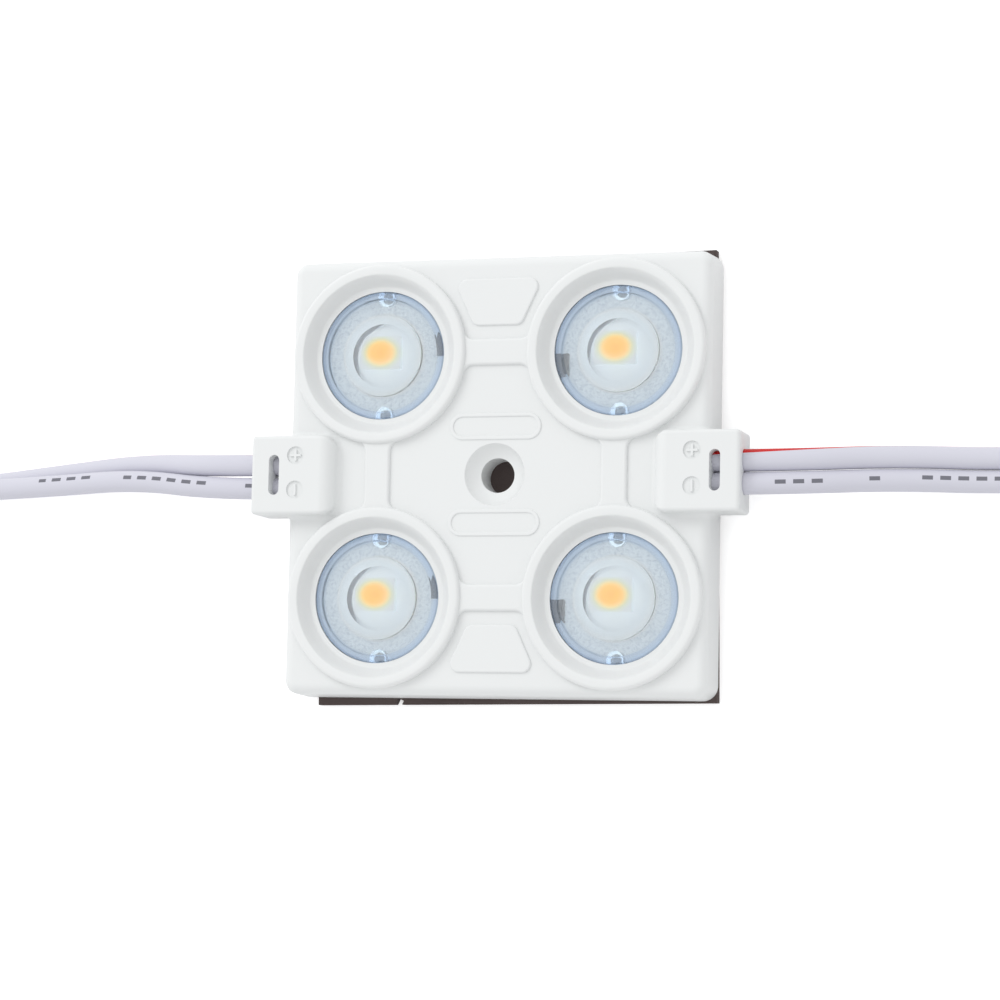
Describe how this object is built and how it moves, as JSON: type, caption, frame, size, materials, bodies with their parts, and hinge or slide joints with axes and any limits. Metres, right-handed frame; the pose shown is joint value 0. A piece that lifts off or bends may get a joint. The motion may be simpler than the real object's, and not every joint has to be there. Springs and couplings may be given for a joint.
{
  "type": "led module",
  "caption": "White square LED light module with clear lenses over its diodes, a central screw hole, an adhesive back and a paired-wire lead at each side.",
  "frame": {"origin": "underside of the tape's release liner, on the axis of the centre screw hole", "axes": "+X along the leads towards the right gland, +Y towards the side marked plus, +Z out of the lens face"},
  "size_m": [0.125, 0.0394, 0.0063],
  "materials": {
    "housing_white": "semi-gloss moulded ABS",
    "cover_white": "plain moulded ABS",
    "foam_tape": "closed-cell acrylic foam",
    "liner_film": "coated release paper",
    "board_laminate": "white solder mask on glass-epoxy",
    "lens_clear": "clear moulded optical plastic",
    "led_cup": "white moulded package",
    "phosphor": "phosphor-filled silicone",
    "resistor_black": "ceramic chip with a glazed top",
    "package_black": "moulded epoxy package",
    "white_insulation": "smooth PVC",
    "striped_insulation": "smooth PVC with a red line",
    "tinned_copper": "tinned stranded copper",
    "solder": "bright solder"
  },
  "bodies": {
    "root": {"housing": "housing_white", "back_cover": "cover_white", "adhesive_tape": "foam_tape", "release_liner": "liner_film", "circuit_board": "board_laminate", "lens_top_left": "lens_clear", "led_top_left": "led_cup", "phosphor_top_left": "phosphor", "resistor_top_left": "resistor_black", "lens_top_right": "lens_clear", "led_top_right": "led_cup", "phosphor_top_right": "phosphor", "resistor_top_right": "resistor_black", "lens_bottom_left": "lens_clear", "led_bottom_left": "led_cup", "phosphor_bottom_left": "phosphor", "resistor_bottom_left": "resistor_black", "lens_bottom_right": "lens_clear", "led_bottom_right": "led_cup", "phosphor_bottom_right": "phosphor", "resistor_bottom_right": "resistor_black", "driver_chip": "package_black", "reverse_diode": "package_black", "wire_right_positive": "striped_insulation", "wire_tip_right_positive": "tinned_copper", "core_right_positive": "tinned_copper", "solder_right_positive": "solder", "wire_right_negative": "white_insulation", "wire_tip_right_negative": "tinned_copper", "core_right_negative": "tinned_copper", "solder_right_negative": "solder", "wire_left_positive": "striped_insulation", "wire_tip_left_positive": "tinned_copper", "core_left_positive": "tinned_copper", "solder_left_positive": "solder", "wire_left_negative": "white_insulation", "wire_tip_left_negative": "tinned_copper", "core_left_negative": "tinned_copper", "solder_left_negative": "solder"}
  },
  "joints": []
}
